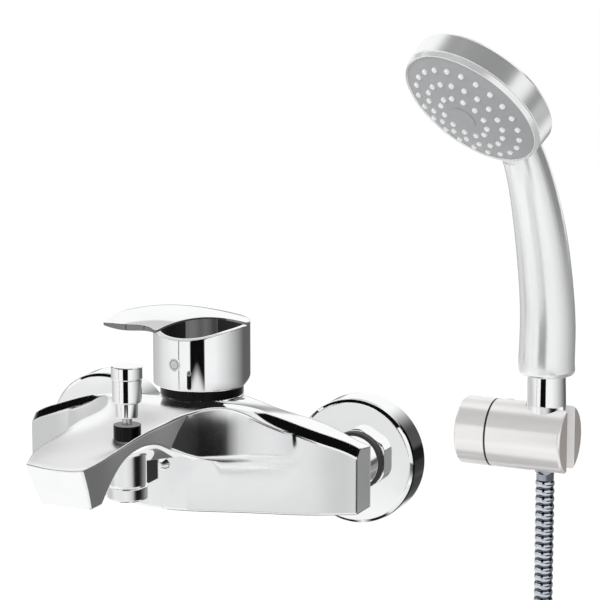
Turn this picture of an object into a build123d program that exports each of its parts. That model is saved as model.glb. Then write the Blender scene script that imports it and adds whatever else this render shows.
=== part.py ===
from build123d import *
import math
import os

# Bath shower set in millimetres: a wall mixer with a long sculpted spout, and a hand
# shower with its tilting wall holder and ribbed hose.
# The wall is the plane Y = 0, the room is towards -Y, and +Z is up.
# The origin is on the wall, midway between the mixer's two inlets.
os.makedirs("parts", exist_ok=True)

# Driving dimensions of the mixer
INLET_SPACING = 150.0
THREAD_R = 10.48          # G1/2 pipe thread, outer radius
FLANGE_R = 34.2
FLANGE_DEPTH = 16.8
BODY_HALF = 96.0          # half width of the casting
BODY_BACK = -43.0         # back of the wings
BODY_BOTTOM = -15.7
UNION_OUT = 6.8           # the eccentric unions step out and up from the wall threads
UNION_UP = 4.5
NUT_ACROSS_FLATS = 31.2
HANDLE_Y = -46.7          # cartridge axis
HANDLE_R = 25.85
HANDLE_BOTTOM = 43.4
HANDLE_YAW = -8.0         # the lever stands a little to the left
LEVER_REACH = 66.8
LEVER_TIP_HALF = 17.2
LIFT_AXIS_Z = 56.0
SPOUT_TIP_Y = -210.0
DIVERTER_Y = -133.0
BOSS_R = 9.6
WEB_HALF = 2.5
LIP_BOTTOM = 12.4
SHOULDER_LOW = 13.0       # underside of the shoulders beside the spout's root

# Driving dimensions of the hand shower and its holder
HOLDER_X = 185.9          # axis of the cone bore
HOLDER_Y = -24.0
HOLDER_Z = 26.6           # axis of the tilting barrel
BARREL_R = 17.65
BARREL_START = 141.5
BARREL_JOINT = 158.2
BARREL_END = 199.5
SCREW_X = 149.9
HANDSET_YAW = -22.9
HANDSET_BOTTOM = 60.2
FACE_TILT = 41.2          # the spray face looks down by this angle
FACE_FORWARD = 59.3
FACE_Z = 202.4
HEAD_R = 38.4
HEAD_WALL = 13.6
FACE_R = 36.4
FACE_DOME = 5.7           # the spray face bulges this far at its middle
NOZZLE_RINGS = ((29.5, 22), (21.5, 18), (13.2, 12))

# Driving dimensions of the hose
HOSE_R = 5.0
HOSE_VALLEY_R = 4.45
HOSE_BORE_R = 3.2
HOSE_PIVOT_Z = 11.5
RIB_PITCH = 4.2
RIB_COUNT = 20
COIL_R = 53.6
COIL_PITCH = 11.0
TIE_WIDTH = 9.0
TIE_THICKNESS = 1.4

FIT = 0.05                # running clearance of a shaft in its hole
GAP = 0.3                 # clearance between curved faces of moving pieces

made = {}


def keep(name, shape):
    """Store a finished piece under its node name."""
    made[name] = shape
    return shape


def rod(radius, start, end, x=0.0, y=0.0):
    """Upright cylinder between two heights."""
    return Pos(x, y, (start + end) / 2) * Cylinder(radius, end - start)


def rod_y(radius, start, end, x=0.0, z=0.0):
    """Cylinder along Y."""
    return Pos(x, (start + end) / 2, z) * Rot(X=90) * Cylinder(radius, end - start)


def rod_x(radius, start, end, y=0.0, z=0.0):
    """Cylinder along X."""
    return Pos((start + end) / 2, y, z) * Rot(Y=90) * Cylinder(radius, end - start)


def cone(low_r, high_r, start, end, x=0.0, y=0.0):
    """Upright cone frustum between two heights."""
    return Pos(x, y, (start + end) / 2) * Cone(low_r, high_r, end - start)


def ring(outer, inner, start, end, x=0.0, y=0.0):
    return rod(outer, start, end, x, y) - rod(inner, start - 1, end + 1, x, y)


def block(x0, x1, y0, y1, z0, z1):
    centre = Pos((x0 + x1) / 2, (y0 + y1) / 2, (z0 + z1) / 2)
    return centre * Box(x1 - x0, y1 - y0, z1 - z0)


def turned(points):
    """Solid of revolution about Z from (radius, height) points."""
    outline = Polyline(*[(r, 0, z) for r, z in points], close=True)
    return revolve(make_face(outline), Axis.Z)


# Mixer casting: the bar is a loft of five-sided sections from wing tip to wing tip.
# Each station is x, front y, top height at the front, top height at the back, back y.
BEVEL = 4.4
BAR = [
    (96.0, -61.0, 18.9, 17.3, -43.0),
    (80.0, -69.6, 26.8, 22.8, -43.0),
    (62.0, -76.2, 33.6, 28.2, -42.8),
    (42.0, -81.5, 39.2, 30.6, -38.5),
    (20.0, -88.5, 40.6, 32.0, -27.0),
]
BAR_MIDDLE = (0.0, -92.0, 40.8, 32.4, -21.5)


def bar_section(station):
    x, front, top, top_back, back = station
    points = [
        (x, back, BODY_BOTTOM),
        (x, back, top_back),
        (x, front + BEVEL, top),
        (x, front, top - BEVEL),
        (x, front, BODY_BOTTOM),
    ]
    return make_face(Polyline(*points, close=True))


left_half = [bar_section((-s[0],) + s[1:]) for s in BAR]
right_half = [bar_section(s) for s in reversed(BAR)]
bar = loft(left_half + [bar_section(BAR_MIDDLE)] + right_half)

# Spout: stations from the lip to the body are y, half width at the ridges, ridge height,
# valley height, half width at the level of the body's bottom, and how far the flank
# stands above the ridge before the dish is cut.
SPOUT = [
    (-216.0, 14.6, 34.3, 33.0, 7.0, 2.0),
    (-198.0, 18.6, 37.0, 33.8, 7.6, 2.0),
    (-180.0, 19.5, 39.2, 33.2, 7.6, 2.0),
    (-156.0, 19.9, 41.2, 31.8, 8.0, 2.0),
    (-132.0, 20.5, 42.0, 31.0, 10.0, 2.0),
    (-113.0, 22.5, 42.6, 31.6, 13.0, 2.0),
    (-100.0, 28.0, 43.0, 33.4, 16.0, 1.0),
    (-88.0, 36.5, 41.4, 35.8, 20.0, 0.0),
    (-76.0, 48.0, 37.6, 36.6, 24.0, -0.6),
]
ARCH_SLOPE = 0.6          # the underside falls this much per mm towards the keel
ARCH_EDGE = 19.0


def spout_section(station):
    """Outer section, with its top left high for the dish to cut."""
    y, half, ridge, _, foot, spare = station
    wide = half + spare * (half - foot) / (ridge - BODY_BOTTOM)
    top = ridge + spare
    points = [(-wide, y, top), (wide, y, top), (foot, y, BODY_BOTTOM), (-foot, y, BODY_BOTTOM)]
    return make_face(Polyline(*points, close=True))


def dish_section(station):
    """Hollow of the spout's top: an arc through both ridges and the valley."""
    y, half, ridge, valley, _, _ = station
    sag = ridge - valley
    radius = (half * half + sag * sag) / (2 * sag)
    wide = half + 1.5
    edge = valley + radius - math.sqrt(radius * radius - wide * wide)
    arc = ThreePointArc((-wide, y, edge), (0, y, valley), (wide, y, edge))
    rim = Polyline((wide, y, edge), (wide, y, 60), (-wide, y, 60), (-wide, y, edge))
    return make_face(arc + rim)


spout = loft([spout_section(s) for s in SPOUT])
DISH_END = [(-64.0, 58.0, 38.9, 38.1, 0, 0), (-50.0, 66.0, 43.0, 42.0, 0, 0)]
dish = loft([dish_section(s) for s in SPOUT + DISH_END])

# Underside of the spout: an arch seen from the side, cut upwards towards each flank.
ARCH = [
    (-189.0, 12.0),
    (-181.0, 23.5),
    (-172.0, 30.6),
    (-158.0, 34.0),
    (-143.0, 33.0),
    (-127.0, 28.4),
    (-112.0, 20.8),
    (-102.0, 16.6),
    (-92.0, 13.4),
    (-80.0, 12.4),
]


def arch_face(x, lift):
    """Everything under the arch as seen from the side, at one x and raised by lift."""
    curve = Spline(*[(x, y, z + lift) for y, z in ARCH])
    first_y, first_z = ARCH[0]
    last_y, last_z = ARCH[-1]
    below = Polyline(
        (x, last_y, last_z + lift),
        (x, last_y, -70.0),
        (x, first_y - 0.5, -70.0),
        (x, first_y, first_z + lift),
    )
    return make_face(curve + below)


def arch_cutter(side):
    """Everything under the arch on one flank, pushed in and down to the middle."""
    reach = ARCH_EDGE + 14.0
    inward = Vector(-side * reach, 0, -ARCH_SLOPE * reach)
    face = arch_face(side * reach, ARCH_SLOPE * (reach - ARCH_EDGE))
    return extrude(face, amount=inward.length, dir=inward.normalized())


keel_cut = block(-30, 30, -230.0, -150.0, -60, LIP_BOTTOM)
keel_rear = block(-30, 30, -150.5, -95.0, -60, 8.0)
lip_cut = extrude(
    make_face(
        Polyline(
            (-40, SPOUT_TIP_Y, 35.0),
            (-40, SPOUT_TIP_Y + 12.3, 12.4),
            (-40, SPOUT_TIP_Y + 27.0, -14.6),
            (-40, SPOUT_TIP_Y - 30, -20.0),
            (-40, SPOUT_TIP_Y - 30, 60.0),
            (-40, SPOUT_TIP_Y - 13.6, 60.0),
            close=True,
        )
    ),
    amount=80,
    dir=(1, 0, 0),
)
root_pocket = block(-17.5, 17.5, -127.0, -80.0, -60, 18.5)
root_pocket = root_pocket + block(-34.0, 34.0, -106.0, -80.0, -60, SHOULDER_LOW)
spout = spout - arch_cutter(1) - arch_cutter(-1) - keel_cut - keel_rear - lip_cut - root_pocket

# Shoulders: they sweep each flank of the spout into the wing's front face. The plan is
# x, y along the sweep, and the top is x and height along the shoulder.
SHOULDER_PLAN = [
    (18, -122),
    (22, -112.5),
    (25, -106),
    (29, -98.8),
    (34, -92.2),
    (40, -87),
    (48, -82.5),
    (57, -79),
    (67, -74.4),
]
SHOULDER_TOP = [
    (16, 40.8),
    (22.5, 42.4),
    (28, 42.9),
    (33, 42.4),
    (37, 41.2),
    (43, 38.5),
    (50, 34.4),
    (58, 30.6),
    (69, 26.6),
]
shoulder_plan = make_face(
    Spline(*SHOULDER_PLAN) + Polyline((67, -74.4), (67, -71), (42, -77.6), (18, -86), (18, -122))
)
shoulder_block = extrude(Plane.XY.offset(SHOULDER_LOW) * shoulder_plan, 40)
shoulder_top = make_face(
    Plane.XZ * (Spline(*SHOULDER_TOP) + Polyline((69, 26.6), (69, 0), (16, 0), (16, 40.8)))
)
arch_beside = extrude(arch_face(10.0, 0.0), amount=60, dir=(1, 0, 0))
shoulder = (shoulder_block & extrude(shoulder_top, amount=140, dir=(0, -1, 0))) - arch_beside
shoulders = shoulder + mirror(shoulder, Plane.YZ)
casting = bar + spout + shoulders - dish

# The outlet boss stands under the spout and a web ties it back to the bar.
boss = rod(BOSS_R, 7.6, 26.0, 0, DIVERTER_Y)
web = block(-WEB_HALF, WEB_HALF, -121.0, -104.0, 4.2, 20.0)
web = web + block(-WEB_HALF, WEB_HALF, DIVERTER_Y + 5, -120.0, 8.0, 20.0)
web = web + block(-WEB_HALF, WEB_HALF, -106.0, -90.0, 15.0, 20.0)
neck = rod(22.3, 20.0, 37.6, 0, HANDLE_Y)
casting = casting + boss + web + neck

# Seats and bores: cartridge bore, neck seat, diverter bores, aerator pocket.
neck_seat = rod(22.5, 37.6, 70, 0, HANDLE_Y)
cartridge_bore = rod(18.2, 7.0, 60, 0, HANDLE_Y)
valve_chamber = rod(7.4, 0.0, 21.0, 0, DIVERTER_Y)
spindle_bore = rod(3.4, 15.0, 50.0, 0, DIVERTER_Y)
collar_seat = rod(7.15, 31.6, 60.0, 0, DIVERTER_Y)
aerator_pocket = rod(9.2, 0.0, 22.0, 0, -181.5)
casting = casting - neck_seat - cartridge_bore - valve_chamber - spindle_bore - collar_seat - aerator_pocket
keep("mixer_body", casting)

# Wall side of the mixer, the same on both inlets
union = {}
union["flange"] = Rot(X=90) * turned(
    [
        (0, FLANGE_DEPTH - 2.0),
        (0, FLANGE_DEPTH),
        (FLANGE_R - 2.0, FLANGE_DEPTH - 0.5),
        (FLANGE_R - 0.4, FLANGE_DEPTH - 1.6),
        (FLANGE_R, FLANGE_DEPTH - 3.0),
        (FLANGE_R, 0.0),
        (FLANGE_R - 1.6, 0.0),
        (FLANGE_R - 1.6, FLANGE_DEPTH - 3.2),
    ]
)
flange_hole = rod_y(13.2, -30, 1, UNION_OUT, UNION_UP)
union["flange"] = union["flange"] - flange_hole
thread = rod_y(THREAD_R, 1.0, 18.0) + rod_y(THREAD_R - 0.5, -10.0, 1.0) - rod_y(7.5, -10, 19)
eccentric = rod_y(13.0, -28.4, -9.0, UNION_OUT, UNION_UP) - rod_y(8.0, -30, -11, UNION_OUT, UNION_UP)
waterway = rod_y(4.5, -12, 0, UNION_OUT / 2, UNION_UP / 2)
union["union_tail"] = (thread + eccentric) - waterway
union_bore = rod_y(8.0, -45, -26, UNION_OUT, UNION_UP)
union["union_washer"] = rod_y(15.9, -32.6, -28.4, UNION_OUT, UNION_UP) - union_bore
union["inlet_sleeve"] = rod_y(14.0, BODY_BACK - 1, -32.6, UNION_OUT, UNION_UP) - union_bore
nut_profile = RegularPolygon(NUT_ACROSS_FLATS / 2, 6, major_radius=False, rotation=30)
nut_blank = extrude(Plane.XZ.offset(17.4) * nut_profile, 11.0)
nut_round = Rot(X=90) * turned([(0, 17.4), (16.3, 17.4), (16.9, 18.2), (16.9, 27.6), (16.3, 28.4), (0, 28.4)])
union_nut = (nut_blank & nut_round) - rod_y(13.1, -50, -10)
union["union_nut"] = union_nut.moved(Location((UNION_OUT, 0, UNION_UP)))
for label, shape in union.items():
    placed = shape.moved(Location((INLET_SPACING / 2, 0, 0)))
    if label == "inlet_sleeve":
        placed = placed - casting
    keep("right_" + label, placed)
    keep("left_" + label, mirror(placed, Plane.YZ))

# Cartridge pieces on the lever's axis
keep("cartridge_body", rod(18.1, 7.0, 37.4, 0, HANDLE_Y))
keep("neck_ring", ring(22.3, 17.0, 37.6, 43.0, 0, HANDLE_Y))
keep("cartridge_nut", ring(16.9, 12.2, 37.6, 42.4, 0, HANDLE_Y))

# Lever: made facing -Y about its own axis, then turned and moved to the cartridge.
CREST = [(-32.0, 74.0), (-10.0, 81.1), (10.0, 86.2), (30.0, 89.3), (45.0, 89.7), (58.0, 88.5), (72.0, 84.8)]
CROWN_BACK = 5.4 / 25.85 ** 2
CROWN_TIP = 1.9 / LEVER_TIP_HALF ** 2
PLATE = 3.2
FLATTEN = 1.15            # the underside is flatter across than the top, most at the tip


def under_crown(drop, flatten=0.0):
    """Solid under the lever's crowned top, lowered by the given amount."""
    sections = []
    for reach, height in CREST:
        share = (reach + 32.0) / 104.0
        crown = CROWN_BACK + (CROWN_TIP - CROWN_BACK) * share
        crown = crown * (1 - flatten * share)
        wide = 30.0
        top = height - drop
        arc = ThreePointArc(
            (-wide, -reach, top - crown * wide * wide),
            (0, -reach, top),
            (wide, -reach, top - crown * wide * wide),
        )
        rest = Polyline(
            (wide, -reach, top - crown * wide * wide),
            (wide, -reach, 30),
            (-wide, -reach, 30),
            (-wide, -reach, top - crown * wide * wide),
        )
        sections.append(make_face(arc + rest))
    return loft(sections)


def lever_plan():
    """Plan of the paddle: a disc that narrows to a rounded blunt tip."""
    tangent_s = 3.4
    tangent_t = math.sqrt(HANDLE_R ** 2 - tangent_s ** 2)
    corner = 2.6
    back = ThreePointArc((tangent_t, -tangent_s), (0, HANDLE_R), (-tangent_t, -tangent_s))
    left = Line((-tangent_t, -tangent_s), (-LEVER_TIP_HALF, -LEVER_REACH + corner))
    tip = Spline(
        (-LEVER_TIP_HALF, -LEVER_REACH + corner),
        (-LEVER_TIP_HALF + corner, -LEVER_REACH + 0.6),
        (0, -LEVER_REACH - 0.6),
        (LEVER_TIP_HALF - corner, -LEVER_REACH + 0.6),
        (LEVER_TIP_HALF, -LEVER_REACH + corner),
        tangents=[(0.1, -1), (0.1, 1)],
    )
    right = Line((LEVER_TIP_HALF, -LEVER_REACH + corner), (tangent_t, -tangent_s))
    return make_face(back + left + tip + right)


plan_column = extrude(Plane.XY.offset(40) * lever_plan(), 60)
top_side = under_crown(0.0)
mid_side = under_crown(1.0, FLATTEN / 2)
under_side = under_crown(PLATE, FLATTEN)
plate = (plan_column & top_side) - under_side
cup = rod(HANDLE_R, HANDLE_BOTTOM, 100) & mid_side
hollow = rod(HANDLE_R - 2.6, 30, 100) & under_side
window_curve = Spline((30, -30, 69.4), (30, -20.6, 72.0), (30, -11.3, 74.7), (30, -3.0, 75.7), (30, 14.5, 75.4))
window_rest = Polyline((30, 14.5, 75.4), (30, 14.5, 120), (30, -30, 120), (30, -30, 69.4))
window = extrude(make_face(window_curve + window_rest), amount=60, dir=(-1, 0, 0)) & under_side
# The skirt rises to the back, and more steeply behind, so that the lever can lift by 20 degrees.
SKIRT = [(-2.7, 43.0), (12.0, 47.1), (40.0, 59.0), (40.0, 30.0), (-2.7, 30.0)]
relief = extrude(
    make_face(Polyline(*[(30, y, z) for y, z in SKIRT], close=True)),
    amount=60,
    dir=(-1, 0, 0),
)
socket = rod(8.5, 66.0, 100) & mid_side
button_hole = rod_y(3.3, -40, -18, 0, 57.3)
lever = plate + (cup - hollow - window - relief) + socket - button_hole
on_cartridge = Pos(0, HANDLE_Y, 0) * Rot(Z=HANDLE_YAW)
keep("lever_handle", on_cartridge * lever)
button = rod_y(3.2, -HANDLE_R - 0.3, -HANDLE_R + 2.2, 0, 57.3)
keep("indicator_button", on_cartridge * button)
axle = rod_x(2.5, -10.5, 10.5, 0, LIFT_AXIS_Z)
stem = rod(5.0, 50.0, 66.0) - rod_x(2.5 + FIT, -20, 20, 0, LIFT_AXIS_Z)
keep("lever_stem", on_cartridge * stem)
ears = block(-10.5, -5.4, -5, 5, 47.0, 60.5) + block(5.4, 10.5, -5, 5, 47.0, 60.5)
turret = rod(11.9, 37.8, 47.9) + ears - axle
keep("cartridge_turret", on_cartridge * turret)
keep("lift_axle", on_cartridge * axle)

# Diverter: collar on the spout, and a knob, cap, spindle and valve disc that pull up together.
keep("diverter_collar", ring(7.1, 2.6 + FIT, 31.6, 39.2, 0, DIVERTER_Y))
keep("diverter_spindle", rod(2.6, 11.2, 46.0, 0, DIVERTER_Y))
keep("diverter_valve", ring(7.0, 2.6, 9.0, 11.2, 0, DIVERTER_Y) + rod(7.0, 8.4, 11.2, 0, DIVERTER_Y))
knob_outline = [(0, 46.0), (2.6, 46.0), (2.6, 43.3), (5.9, 43.3), (5.9, 51.3), (7.5, 51.3), (7.5, 63.2), (0, 63.2)]
keep("diverter_knob", Pos(0, DIVERTER_Y, 0) * turned(knob_outline))
cap_outline = [(0, 63.2), (7.95, 63.2), (7.95, 69.4), (7.4, 69.9), (0, 70.1)]
keep("diverter_cap", Pos(0, DIVERTER_Y, 0) * turned(cap_outline))

# Shower outlet under the boss
nipple_outline = [(6.6, 0.6), (9.7, 0.6), (THREAD_R, 1.4), (THREAD_R, 7.6), (6.6, 7.6)]
keep("outlet_nipple", Pos(0, DIVERTER_Y, 0) * turned(nipple_outline))
keep("check_valve", rod(6.5, 1.6, 7.6, 0, DIVERTER_Y) - rod(3.0, 1.0, 8.0, 0, DIVERTER_Y))
plug_cone = Pos(-0.8, -93.5, 9.0) * Rot(X=90) * Cone(4.6, 1.6, 6.0)
keep("cover_plug", plug_cone - casting)

# Aerator in the lip
keep("aerator_housing", ring(9.1, 7.2, 12.6, 22.0, 0, -181.5))
keep("aerator_insert", rod(7.1, 13.6, 19.0, 0, -181.5))

# Hand shower: made facing -Y about the cone axis. Stations of the grip are forward
# distance, height and diameter.
GRIP = [
    (0.0, HANDSET_BOTTOM + 2.4, 28.9),
    (0.0, 79.0, 28.7),
    (0.6, 97.0, 28.0),
    (2.9, 115.0, 27.3),
    (6.2, 133.0, 26.4),
    (10.7, 151.0, 24.8),
    (16.5, 168.0, 22.8),
    (25.0, 184.0, 21.0),
    (37.0, 199.0, 19.6),
]


def grip_section(index):
    """Round section square to the grip's centre line."""
    forward, height, diameter = GRIP[index]
    before = GRIP[max(index - 1, 0)]
    after = GRIP[min(index + 1, len(GRIP) - 1)]
    along = Vector(0, -(after[0] - before[0]), after[1] - before[1])
    if index == 0:
        along = Vector(0, 0, 1)
    plane = Plane(origin=(0, -forward, height), x_dir=(1, 0, 0), z_dir=along.normalized())
    return plane * Circle(diameter / 2)


grip = loft([grip_section(i) for i in range(len(GRIP))])
foot_outline = [(0, 0.0), (12.4, 0.0), (13.6, 0.5), (14.2, 1.3), (14.45, 2.4), (0, 2.4)]
grip_foot = Pos(0, 0, HANDSET_BOTTOM) * turned(foot_outline)
tilt = math.radians(FACE_TILT)
face_normal = Vector(0, -math.cos(tilt), -math.sin(tilt))
face_plane = Plane(origin=(0, -FACE_FORWARD, FACE_Z), x_dir=(1, 0, 0), z_dir=face_normal)


def on_face(shape):
    """Put a piece made about +Z, with its face at z = 0, on the spray face."""
    return face_plane.location * shape


head_side = [(0, -3.0), (HEAD_R - 0.6, -3.0), (HEAD_R, -3.4), (HEAD_R + 0.5, -HEAD_WALL)]
head_back = [(HEAD_R - 0.3, -1.3), (30.0, -3.6), (16.0, -6.8), (0, -7.8)]
head = on_face(turned(head_side + [(r, z - HEAD_WALL) for r, z in head_back]))
recess = on_face(rod(FACE_R + 0.1, -9.0, 1.0))
nipple_hole = rod(7.6, 40, 72)
face_room = on_face(rod(HEAD_R + 4, -3.0, 12.0))
shell = head + grip + grip_foot - recess - face_room - nipple_hole
handset_place = Pos(HOLDER_X, HOLDER_Y, 0) * Rot(Z=HANDSET_YAW)
keep("handset_shell", handset_place * shell)
bezel_inside = [(FACE_R + 0.1, -3.0), (FACE_R + 0.1, -0.6), (FACE_R + 0.8, 0.0)]
bezel_outside = [(HEAD_R - 0.9, -0.2), (HEAD_R, -2.4), (HEAD_R, -3.0)]
keep("head_bezel", handset_place * on_face(turned(bezel_inside + bezel_outside)))


def face_height(radius):
    """Height of the domed spray face above the plane of its rim."""
    return FACE_DOME - 0.0049 * radius * radius


dome_points = [(r, face_height(r)) for r in (FACE_R, 31.0, 25.0, 18.0, 10.0, 0.0)]
plate_solid = turned([(0, -9.0), (FACE_R, -9.0)] + dome_points)
keep("spray_plate", handset_place * on_face(plate_solid))
nozzle = loft([Pos(0, 0, z) * RegularPolygon(r, 8) for r, z in ((1.3, -0.6), (1.1, 1.2))], ruled=True)
nozzles = []
for radius, count in NOZZLE_RINGS:
    for i in range(count):
        angle = 2 * math.pi * i / count
        height = face_height(radius)
        nozzles.append(Pos(radius * math.cos(angle), radius * math.sin(angle), height) * nozzle)
nozzle_group = Compound(children=[n - plate_solid for n in nozzles])
keep("spray_nozzles", handset_place * on_face(nozzle_group))
disc = turned([(0, 5.0), (6.8, 5.0), (6.7, FACE_DOME + 0.2), (0, FACE_DOME + 0.5)]) - plate_solid
keep("centre_disc", handset_place * on_face(disc))
keep("handset_nipple", handset_place * (rod(7.6, 48.0, 72.0) - rod(4.5, 40, 80)))

# Holder on the wall
barrel = rod_x(BARREL_R, BARREL_START, BARREL_JOINT, HOLDER_Y, HOLDER_Z)
barrel = chamfer(barrel.edges().sort_by(Axis.X)[0], 1.0)
plate_back = block(143.2, 156.6, -24.0, 0.0, HOLDER_Z - 16.0, HOLDER_Z + 11.0)
wall_plate = plate_back - rod_x(BARREL_R, 120, 180, HOLDER_Y, HOLDER_Z)
screw = rod_y(2.0, -6.0, 20.0) + rod_y(3.6, -6.0, -4.0)
plug = rod_y(3.2, 0.4, 22.0) - rod_y(2.05, 0, 21)
screw_hole = rod_y(2.1, -30, 1) + rod_y(3.7, -30, -4.0)
screw_room = []
for label, height in (("upper", HOLDER_Z + 4.0), ("lower", HOLDER_Z - 10.0)):
    wall_plate = wall_plate - screw_hole.moved(Location((SCREW_X, 0, height)))
    keep("wall_screw_" + label, screw.moved(Location((SCREW_X, 0, height))))
    keep("wall_plug_" + label, plug.moved(Location((SCREW_X, 0, height))))
    screw_room.append(rod_y(3.8, -14, 1, SCREW_X, height))
keep("wall_plate", wall_plate)
stub = rod_x(8.0, BARREL_JOINT - 1, 169.5, HOLDER_Y, HOLDER_Z)
keep("holder_fixed_barrel", barrel + stub - screw_room[0] - screw_room[1])
friction_disc = rod_x(12.0, BARREL_JOINT, BARREL_JOINT + 2, HOLDER_Y, HOLDER_Z)
keep("friction_ring", friction_disc - rod_x(8.0, 150, 170, HOLDER_Y, HOLDER_Z))

turning = rod_x(BARREL_R, BARREL_JOINT + 0.4, BARREL_END, HOLDER_Y, HOLDER_Z)
turning = fillet(turning.edges().sort_by(Axis.X)[-1], 1.6)
stub_bore = rod_x(8.0 + FIT, 150, 170.5, HOLDER_Y, HOLDER_Z)
stub_bore = stub_bore + rod_x(12.0 + GAP, 150, BARREL_JOINT + 2 + GAP, HOLDER_Y, HOLDER_Z)
cone_bore = cone(8.6, 10.5, 4.0, 46.0, HOLDER_X, HOLDER_Y)
hose_slot = block(HOLDER_X, BARREL_END + 5, HOLDER_Y - 5.9, HOLDER_Y + 5.9, 0, 60)
keep("holder_turning_barrel", turning - stub_bore - cone_bore - hose_slot)

# Conical nut and hose
nut_cone = cone(7.95, 10.15, 11.0, 44.6, HOLDER_X, HOLDER_Y)
nut_top = cone(10.15, 9.7, 44.6, HANDSET_BOTTOM - GAP, HOLDER_X, HOLDER_Y)
socket_ball = Pos(HOLDER_X, HOLDER_Y, HOSE_PIVOT_Z) * Sphere(6.0 + GAP)
nut_bore = rod(7.6 + FIT, 47.8, 70, HOLDER_X, HOLDER_Y) + rod(4.0, 10, 60, HOLDER_X, HOLDER_Y)
keep("cone_nut", nut_cone + nut_top - socket_ball - nut_bore)
ferrule = Pos(HOLDER_X, HOLDER_Y, HOSE_PIVOT_Z) * Sphere(6.0) + rod(4.6, 4.5, HOSE_PIVOT_Z, HOLDER_X, HOLDER_Y)
keep("hose_ferrule", ferrule - rod(3.0, 0, 20, HOLDER_X, HOLDER_Y))

# Ribbed stretch: each rib has four circles, joined by straight cones.
hose_top = 4.5
hose_low = hose_top - RIB_COUNT * RIB_PITCH


def across_hose(height):
    """Plane across the hanging hose, facing down."""
    return Plane(origin=(HOLDER_X, HOLDER_Y, height), x_dir=(1, 0, 0), z_dir=(0, 0, -1))


rib_circles = []
for i in range(RIB_COUNT):
    start = hose_top - i * RIB_PITCH
    for drop, radius in ((0.0, HOSE_VALLEY_R), (0.7, HOSE_R), (3.2, HOSE_R), (3.9, HOSE_VALLEY_R)):
        rib_circles.append(across_hose(start - drop) * Circle(radius))
rib_circles.append(across_hose(hose_low) * Circle(HOSE_VALLEY_R))
drop_tube = loft(rib_circles, ruled=True)
keep("hose_drop", drop_tube - rod(HOSE_BORE_R, hose_low - 5, hose_top + 5, HOLDER_X, HOLDER_Y))

# Rest of the hose: straight end, a bend of 60 degrees, then turns that climb towards the room.
STRAIGHT = 11.0
TAIL = 45.0
bend_start = Vector(HOLDER_X, HOLDER_Y, hose_low - STRAIGHT)
coil_centre_z = bend_start.Z - 2 * COIL_R * math.sin(math.radians(60))


def coil_point(turned_by):
    """Point and direction on the coil after an angle in degrees from its start."""
    angle = math.radians(120 + turned_by)
    climb = -COIL_PITCH / 360.0
    point = Vector(
        HOLDER_X + COIL_R * math.cos(angle),
        HOLDER_Y + climb * turned_by,
        coil_centre_z + COIL_R * math.sin(angle),
    )
    along = Vector(-math.sin(angle), climb * 180 / math.pi / COIL_R, math.cos(angle))
    return point, along.normalized()


def biarc(p0, t0, p1, t1):
    """Two arcs from one point and direction to another, and the place where they meet."""
    v = p1 - p0
    a = 2 * (t0.dot(t1) - 1)
    b = -2 * v.dot(t0 + t1)
    c = v.dot(v)
    root = math.sqrt(b * b - 4 * a * c)
    d = min(x for x in ((-b + root) / (2 * a), (-b - root) / (2 * a)) if x > 0)
    middle = (p0 + t0 * d + p1 - t1 * d) * 0.5
    first = Edge.make_tangent_arc(p0, t0, middle)
    second = Edge.make_tangent_arc(middle, first.tangent_at(1), p1)
    return [first, second]


coil_edges = [Edge.make_line(Vector(HOLDER_X, HOLDER_Y, hose_low), bend_start)]
coil_start, _ = coil_point(0)
bend_direction = Vector(-math.sin(math.radians(60)), 0, -math.cos(math.radians(60)))
coil_edges.append(Edge.make_tangent_arc(bend_start, Vector(0, 0, -1), coil_start))
TURN_TOTAL = 1500.0
STEPS = 16
here = coil_start
heading = bend_direction
for i in range(1, STEPS + 1):
    there, onward = coil_point(TURN_TOTAL * i / STEPS)
    if i == STEPS:
        onward = Vector(0, 0, -1)
    coil_edges += biarc(here, heading, there, onward)
    here = there
    heading = onward
tail_end = here - Vector(0, 0, TAIL)
coil_edges.append(Edge.make_line(here, tail_end))
coil_path = Wire(coil_edges)
coil = sweep(across_hose(hose_low) * Circle(HOSE_R), path=coil_path)
keep("hose_coil", coil)


def least_gap():
    """Least gap of the coil to itself, measured on points of its centre line."""
    count = 600
    points = [coil_path.position_at(i / count) for i in range(count + 1)]
    step = coil_path.length / count
    near = int(60.0 / step)
    least = 1e9
    for i in range(count + 1):
        for j in range(i + near, count + 1):
            least = min(least, (points[i] - points[j]).length)
    return least - 2 * HOSE_R


hose_length = RIB_COUNT * RIB_PITCH + coil_path.length
print("hose length", round(hose_length, 1), "coil gap", round(least_gap(), 2))
print("coil volume over section times length", round(coil.volume / (math.pi * HOSE_R ** 2 * coil_path.length), 4))
print("bend radius", COIL_R, "coil radius", COIL_R)

# Ties that hold the turns together, at the right and at the top of the coil


def tie(first_turn, angle):
    """Strap round the four strands that pass one place of the coil."""
    y_first = HOLDER_Y - COIL_PITCH * first_turn / 360.0
    y_last = y_first - 3 * COIL_PITCH
    near = HOSE_R + 0.4
    far = near + TIE_THICKNESS
    outer = block(COIL_R - far, COIL_R + far, y_last - far, y_first + far, -TIE_WIDTH / 2, TIE_WIDTH / 2)
    inner = block(COIL_R - near, COIL_R + near, y_last - near, y_first + near, -TIE_WIDTH, TIE_WIDTH)
    outer = fillet(outer.edges().filter_by(Axis.Z), 4.0)
    inner = fillet(inner.edges().filter_by(Axis.Z), 2.8)
    return Pos(HOLDER_X, 0, coil_centre_z) * Rot(Y=-angle) * (outer - inner)


keep("hose_tie_right", tie(240.0, 0.0))
keep("hose_tie_top", tie(330.0, 90.0))

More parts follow.
